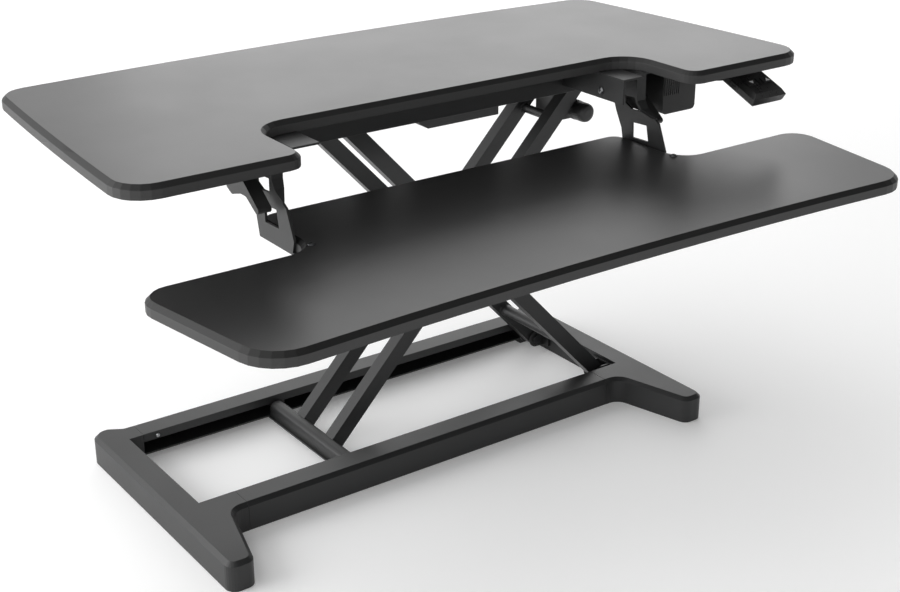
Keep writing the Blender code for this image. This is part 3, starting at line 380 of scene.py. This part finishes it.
def add_turned(bm, at, direction, rings, steps=24):
    """Closed solid of rings (height, radius, hexagon) along a direction from a point."""
    place = Matrix.Translation(Vector(at)) @ axes_of(direction)
    angles = [2 * math.pi * i / steps for i in range(steps)]
    loops = []
    for height, radius, hexagon in rings:
        loop = []
        for angle in angles:
            r = ring_radius(radius, angle, hexagon)
            loop.append(bm.verts.new(place @ Vector((r * math.cos(angle), r * math.sin(angle), height))))
        loops.append(loop)
    for low, high in zip(loops, loops[1:]):
        for i in range(steps):
            bm.faces.new((low[i - 1], low[i], high[i], high[i - 1]))
    bm.faces.new(loops[0])
    bm.faces.new(loops[-1])


def turned_piece(name, at, direction, rings, finish, body, steps=24):
    """A single turned solid as a piece of its own."""
    bm = bmesh.new()
    add_turned(bm, at, direction, rings, steps)
    return make_piece(name, bm, finish, body)


def add_torus(bm, at, direction, radius, thickness, ripple=0.0, steps=36, sides=8):
    """Ring of round section; a ripple makes it look like a run of weld."""
    beads, drift = 13, 5                     # fine and slow waves in one turn
    place = Matrix.Translation(Vector(at)) @ axes_of(direction)
    loops = []
    for i in range(steps):
        angle = 2 * math.pi * i / steps
        wave = 1 + ripple * math.sin(angle * beads) + 0.5 * ripple * math.sin(angle * drift + 1)
        loop = []
        for k in range(sides):
            turn = 2 * math.pi * k / sides
            out = radius + thickness * wave * math.cos(turn)
            up = thickness * wave * math.sin(turn)
            loop.append(bm.verts.new(place @ Vector((out * math.cos(angle), out * math.sin(angle), up))))
        loops.append(loop)
    for i in range(steps):
        for k in range(sides):
            bm.faces.new((loops[i - 1][k - 1], loops[i - 1][k], loops[i][k], loops[i][k - 1]))


def add_slab(bm, low, high, rounding=0.18):
    """Rectangular block, its edges rounded by a share of its smallest side."""
    corners = [bm.verts.new((x, y, z)) for x in (low[0], high[0]) for y in (low[1], high[1])
               for z in (low[2], high[2])]
    faces = [(0, 1, 3, 2), (4, 6, 7, 5), (0, 4, 5, 1), (2, 3, 7, 6), (0, 2, 6, 4), (1, 5, 7, 3)]
    made = [bm.faces.new([corners[i] for i in face]) for face in faces]
    edges = {edge for face in made for edge in face.edges}
    width = rounding * min(b - a for a, b in zip(low, high))
    bmesh.ops.bevel(bm, geom=list(edges), offset=width, segments=2, profile=0.6, affect="EDGES")


# ---- bolts and screws -------------------------------------------------------
DOME = ((0, 1), (0.35, 1), (0.75, 0.86), (0.96, 0.66), (1, 0.50))    # shares of height, radius
SOCKET_FLOOR = 0.25


def button_head(base, radius, height, socket):
    """Rings of a domed head with a hexagon socket, from its seat outwards."""
    rings = [(base + up * height, out * radius, False) for up, out in DOME]
    return rings + [(base + height, socket, True), (base + SOCKET_FLOOR * height, socket, True)]


def add_tray_bolts():
    """Bolts through tray and bracket flange, with a hexagon nut below."""
    nut, nut_height, shank = 3.6 * MM, 2.8 * MM, 2.3 * MM
    head, head_height, socket = 4.2 * MM, 2.3 * MM, 1.4 * MM
    for side in ("left", "right"):
        node = "tray_bolt_" + side
        low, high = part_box(node)
        centre = (low + high) / 2
        seat = high.z - low.z - head_height
        rings = [(0, nut, True), (nut_height, nut, True), (nut_height, shank, False), (seat, shank, False)]
        rings += button_head(seat, head, head_height, socket)
        piece = turned_piece("tray_button_bolt_" + side, (centre.x, centre.y, low.z), (0, 0, 1), rings,
                             "black_steel", "upper_frame")
        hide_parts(node)


def add_support_bolts():
    """Bolts through the wing supports, their heads turned to the left."""
    shank, head, head_height, socket = 3.0 * MM, 4.4 * MM, 2.4 * MM, 1.6 * MM
    for side in ("left", "right"):
        node = "support_bolt_" + side
        low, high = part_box(node)
        centre = (low + high) / 2
        seat = high.x - low.x - head_height
        rings = [(0, shank, False), (seat, shank, False)] + button_head(seat, head, head_height, socket)
        piece = turned_piece("support_button_bolt_" + side, (high.x, centre.y, centre.z), (-1, 0, 0), rings,
                             "dark_steel", "upper_frame")
        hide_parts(node)


def add_rail_screws():
    """Screws in the base rails; their heads point towards the base's middle."""
    head, socket = 2.8 * MM, 1.0 * MM
    for side, out in (("front", 1), ("rear", -1)):
        node = "rail_screw_" + side
        low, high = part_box(node)
        centre = (low + high) / 2
        seat = low.y if out > 0 else high.y
        piece = turned_piece("rail_button_screw_" + side, (centre.x, seat, centre.z), (0, out, 0),
                             button_head(0, head, high.y - low.y, socket), "zinc", "base")
        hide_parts(node)


def add_cover_screws():
    """Button heads at the corners of the gearbox cover."""
    inset, head, height, socket = 4.5 * MM, 2.4 * MM, 1.3 * MM, 0.9 * MM
    low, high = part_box("gearbox_cover")
    bm = bmesh.new()
    for y in (low.y + inset, high.y - inset):
        for z in (low.z + inset, high.z - inset):
            add_turned(bm, (high.x, y, z), (1, 0, 0), button_head(0, head, height, socket), steps=18)
    make_piece("gearbox_cover_screws", bm, "zinc", "upper_frame")


# ---- arms and levers --------------------------------------------------------
def add_welds():
    """Runs of weld where the cross tubes meet the bars."""
    weld, ripple = 1.3 * MM, 0.22
    runs = (("outer_arm", "outer_arm_welds", OUTER_BAR_FACE,
             ((OUTER_TIE, OUTER_TIE_RADIUS), (UPPER_AXLE, UPPER_AXLE_RADIUS))),
            ("inner_arm", "inner_arm_welds", INNER_BAR_FACE, ((INNER_TIE, INNER_TIE_RADIUS),)))
    for body, name, face, tubes in runs:
        bm = bmesh.new()
        for (x, z), radius in tubes:
            for side in (-1, 1):
                at = (x, CENTRE_LINE_Y + side * face, z)
                add_torus(bm, at, (0, 1, 0), radius, weld, ripple)
        make_piece(name, bm, "powder_coat", body)


def add_lever_grips():
    """Cross ribs under each lever's paddle for the fingertips."""
    paddle, rib, length, rounding = 16 * MM, 0.8 * MM, 11 * MM, 0.5 * MM
    shares = (0.1, 0.37, 0.63, 0.9)          # along the paddle
    rings = [(0, 0.6 * rib, False), (rounding, rib, False),
             (length - rounding, rib, False), (length, 0.6 * rib, False)]
    for side in ("left", "right"):
        node = "release_lever_" + side
        low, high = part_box(node)
        left = low.x if side == "left" else high.x - paddle
        bm = bmesh.new()
        for share in shares:
            point = PADDLE_FRONT.lerp(PADDLE_REAR, share)
            add_turned(bm, (left + (paddle - length) / 2, point.y, point.z), (1, 0, 0), rings, steps=12)
        make_piece("lever_grip_" + side, bm, "plastic", node)


# ---- handset ----------------------------------------------------------------
def handset_point(x, along, lift):
    """Point on the handset's face: distance down the slope and height above it."""
    c, s = math.cos(HANDSET_TILT), math.sin(HANDSET_TILT)
    return Vector((x, HANDSET_EDGE.y - along * c - lift * s, HANDSET_EDGE.z - along * s + lift * c))


def add_handset_plate(name, outline, low, high, finish, body):
    """Thin plate on the handset's sloping face from an outline of (x, along) points."""
    bm = bmesh.new()
    loops = [[bm.verts.new(handset_point(x, along, lift)) for x, along in outline]
             for lift in (low, high)]
    count = len(outline)
    for i in range(count):
        bm.faces.new((loops[0][i - 1], loops[0][i], loops[1][i], loops[1][i - 1]))
    bm.faces.new(loops[0])
    bm.faces.new(loops[1])
    make_piece(name, bm, finish, body, smooth=False)


def add_key_arrows():
    """White arrow heads on the two keys."""
    key_top, gap, thick = 1.5 * MM, 0.02 * MM, 0.15 * MM
    half, tall = 3.6 * MM, 2.6 * MM
    for name, x, point in (("down", 0.3790, 1), ("up", 0.4050, -1)):
        foot, tip = KEY_ROW - point * tall, KEY_ROW + point * tall
        outline = [(x - half, foot), (x + half, foot), (x, tip)]
        add_handset_plate("arrow_" + name, outline, key_top + gap, key_top + thick, "print",
                          "button_" + name)


def add_handset_ridge():
    """Low ridge between the keys, sunk a little into the face."""
    x, half_width, half_length = 0.3905, 0.9 * MM, 7 * MM
    sunk, proud = -0.3 * MM, 0.9 * MM
    outline = [(x - half_width, KEY_ROW - half_length), (x + half_width, KEY_ROW - half_length),
               (x + half_width, KEY_ROW + half_length), (x - half_width, KEY_ROW + half_length)]
    add_handset_plate("handset_ridge", outline, sunk, proud, "gloss_plastic",
                      "upper_frame")


# ---- drive and electrics ----------------------------------------------------
def add_motor_ribs():
    """Cooling ribs round the rear end of the motor can."""
    count, first, pitch, thickness = 5, 5 * MM, 3.2 * MM, 0.35 * MM
    low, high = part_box("drive_motor")
    centre = (low + high) / 2
    radius = (high.x - low.x) / 2
    bm = bmesh.new()
    for i in range(count):
        at = (centre.x, high.y - first - i * pitch, centre.z)
        add_torus(bm, at, (0, 1, 0), radius, thickness, steps=40, sides=6)
    make_piece("motor_ribs", bm, "plastic", "upper_frame")


def add_cable_boots():
    """Tapered strain reliefs where the cables enter the gearbox and the control box."""
    collar, length = 1.5 * MM, 6.5 * MM
    collar_wall, neck_wall, end_wall = 2.0 * MM, 1.2 * MM, 0.3 * MM
    cable_low, cable_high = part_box("motor_cable")
    box_low, box_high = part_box("control_box_body")
    gearbox_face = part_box("gearbox_cover")[1].x
    gearbox_end = (gearbox_face, CENTRE_LINE_Y - MOTOR_CABLE_ASIDE, (cable_low.z + cable_high.z) / 2)
    box_end = (MOTOR_CABLE_X, box_high.y, gearbox_end[2])
    handset_end = (HANDSET_CABLE_X, box_low.y, HANDSET_CABLE_Z)
    boots = (("boot_motor_cable_rear", gearbox_end, (1, 0, 0), MOTOR_CABLE_RADIUS),
             ("boot_motor_cable_front", box_end, (0, 1, 0), MOTOR_CABLE_RADIUS),
             ("boot_handset_cable", handset_end, (0, -1, 0), HANDSET_CABLE_RADIUS))
    for name, at, direction, bore in boots:
        rings = [(0, bore + collar_wall, False), (collar, bore + collar_wall, False),
                 (collar, bore + neck_wall, False), (length, bore + end_wall, False)]
        turned_piece(name, at, direction, rings, "rubber", "upper_frame", steps=20)


def add_control_box_ribs():
    """Upright ribs on the front of the control box."""
    count, first, pitch, width = 8, 2 * MM, 3.4 * MM, 1.6 * MM
    proud, sunk, above_foot, below_top = 0.9 * MM, 0.2 * MM, 24 * MM, 8 * MM
    low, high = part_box("control_box_body")
    bm = bmesh.new()
    for i in range(count):
        x = low.x + first + i * pitch
        add_slab(bm, (x, low.y - proud, low.z + above_foot), (x + width, low.y + sunk, high.z - below_top))
    make_piece("control_box_ribs", bm, "gloss_plastic", "upper_frame", smooth=False)


def add_power_inlet():
    """Frame and two pins of the power inlet at the back of the control box."""
    inset, width, half_height, above_middle = 5 * MM, 15 * MM, 6 * MM, 6 * MM
    proud, sunk = 2.5 * MM, 0.2 * MM
    pin, pin_tip, pin_length, pin_taper, pin_sunk = 0.9 * MM, 0.6 * MM, 3.0 * MM, 0.4 * MM, 0.1 * MM
    low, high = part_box("control_box_body")
    z = (low.z + high.z) / 2 + above_middle
    bm = bmesh.new()
    add_slab(bm, (high.x - inset - width, high.y - sunk, z - half_height),
             (high.x - inset, high.y + proud, z + half_height))
    make_piece("power_inlet_frame", bm, "plastic", "upper_frame", smooth=False)
    rings = [(0, pin, False), (pin_length - pin_taper, pin, False), (pin_length, pin_tip, False)]
    bm = bmesh.new()
    for offset in (9.5 * MM, 15.5 * MM):
        at = (high.x - offset, high.y + proud - pin_sunk, z)
        add_turned(bm, at, (0, 1, 0), rings, steps=16)
    make_piece("power_inlet_pins", bm, "zinc", "upper_frame")


# ---- floor, light and camera ----------------------------------------------
CAMERA_AT = Vector((-0.9857, -1.3586, 0.9685))
CAMERA_AZIMUTH = math.radians(-35.65)
CAMERA_ELEVATION = math.radians(23.18)
CAMERA_LENS = 60.26
CAMERA_SENSOR = 36.0
CAMERA_SHIFT = (0.0024, 0.0012)
LIGHT_TARGET = Vector((0, 0, 0.30))
STUDIO_STRENGTH = 1.10
DARK_PANEL_STRENGTH = 0.20
DARK_PANEL_TOWARDS = Vector((0.54, -0.39, 0.75)).normalized()
DARK_PANEL_FADE = (0.40, 0.85)               # cosines from its rim to its full darkness
SOFTBOXES = (("rear_softbox", (2.2, 3.0, 1.7), (2.6, 1.8), 15),
             ("left_softbox", (-3.0, 1.4, 1.3), (3.2, 2.4), 85),
             ("top_softbox", (-0.4, -0.4, 2.8), (2.6, 2.6), 8))    # name, place, size, watts
FLOOR_REACH = 14.0
FLOOR_GLOW = dict(low=0.14, high=0.50, start=1.5, end=6.0)         # strength by distance in metres


def pale_floor():
    """Pale matt finish that glows a little with distance, so it runs into the pale studio."""
    s = Shader("pale_floor")
    away = s.tree.nodes.new("ShaderNodeVectorMath")
    away.operation = "LENGTH"
    s.feed(away.inputs[0], s.place)
    glow = s.remap(away.outputs["Value"], **FLOOR_GLOW)
    return s.finish(s.mix(s.noise(0.8), grey(0.90), grey(0.94)), 0.7,
                    Emission_Color=(1, 1, 1, 1), Emission_Strength=glow)


def add_floor():
    """One large square under the part."""
    bm = bmesh.new()
    corners = ((-1, -1), (1, -1), (1, 1), (-1, 1))
    bm.faces.new([bm.verts.new((x * FLOOR_REACH, y * FLOOR_REACH, 0)) for x, y in corners])
    mesh = bpy.data.meshes.new("floor")
    bm.to_mesh(mesh)
    bm.free()
    floor = place_object("floor", mesh)
    mesh.materials.append(pale_floor())


def add_softbox(name, at, size, power):
    light = bpy.data.lights.new(name, "AREA")
    light.shape = "RECTANGLE"
    light.size, light.size_y = size
    light.energy = power
    obj = place_object(name, light)
    obj.location = at
    obj.rotation_euler = (LIGHT_TARGET - Vector(at)).to_track_quat("-Z", "Y").to_euler()


def add_studio():
    """Pale studio all round, with a dark panel high on the front right that only shows in the part."""
    world = bpy.data.worlds.new("pale_studio")
    bpy.context.scene.world = world
    world.use_nodes = True
    tree = world.node_tree
    background = tree.nodes["Background"]
    background.inputs["Color"].default_value = (1.0, 1.0, 1.0, 1)
    aim = tree.nodes.new("ShaderNodeVectorMath")
    aim.operation = "DOT_PRODUCT"
    tree.links.new(tree.nodes.new("ShaderNodeTexCoord").outputs["Generated"], aim.inputs[0])
    aim.inputs[1].default_value = DARK_PANEL_TOWARDS
    fade = tree.nodes.new("ShaderNodeMapRange")
    fade.interpolation_type = "SMOOTHSTEP"
    tree.links.new(aim.outputs["Value"], fade.inputs["Value"])
    for name, number in (("From Min", DARK_PANEL_FADE[0]), ("From Max", DARK_PANEL_FADE[1]),
                         ("To Min", STUDIO_STRENGTH), ("To Max", DARK_PANEL_STRENGTH)):
        fade.inputs[name].default_value = number
    seen = tree.nodes.new("ShaderNodeMix")    # the camera itself sees no dark panel
    tree.links.new(tree.nodes.new("ShaderNodeLightPath").outputs["Is Camera Ray"], seen.inputs["Factor"])
    tree.links.new(fade.outputs["Result"], seen.inputs["A"])
    seen.inputs["B"].default_value = STUDIO_STRENGTH
    tree.links.new(seen.outputs["Result"], background.inputs["Strength"])


def add_camera():
    """Camera at the photo's place and angle."""
    data = bpy.data.cameras.new("camera")
    data.lens = CAMERA_LENS
    data.sensor_width = CAMERA_SENSOR
    data.shift_x, data.shift_y = CAMERA_SHIFT
    camera = place_object("camera", data)
    camera.location = CAMERA_AT
    level = math.cos(CAMERA_ELEVATION)
    back = Vector((math.sin(CAMERA_AZIMUTH) * level, -math.cos(CAMERA_AZIMUTH) * level,
                   math.sin(CAMERA_ELEVATION)))
    camera.rotation_euler = back.to_track_quat("Z", "Y").to_euler()
    bpy.context.scene.camera = camera


dress_nodes()
add_tray_bolts()
add_support_bolts()
add_rail_screws()
add_cover_screws()
add_welds()
add_key_arrows()
add_handset_ridge()
add_motor_ribs()
add_cable_boots()
add_control_box_ribs()
add_power_inlet()
add_lever_grips()
add_floor()
add_studio()
for softbox in SOFTBOXES:
    add_softbox(*softbox)
add_camera()
bpy.context.scene.view_settings.view_transform = "Standard"
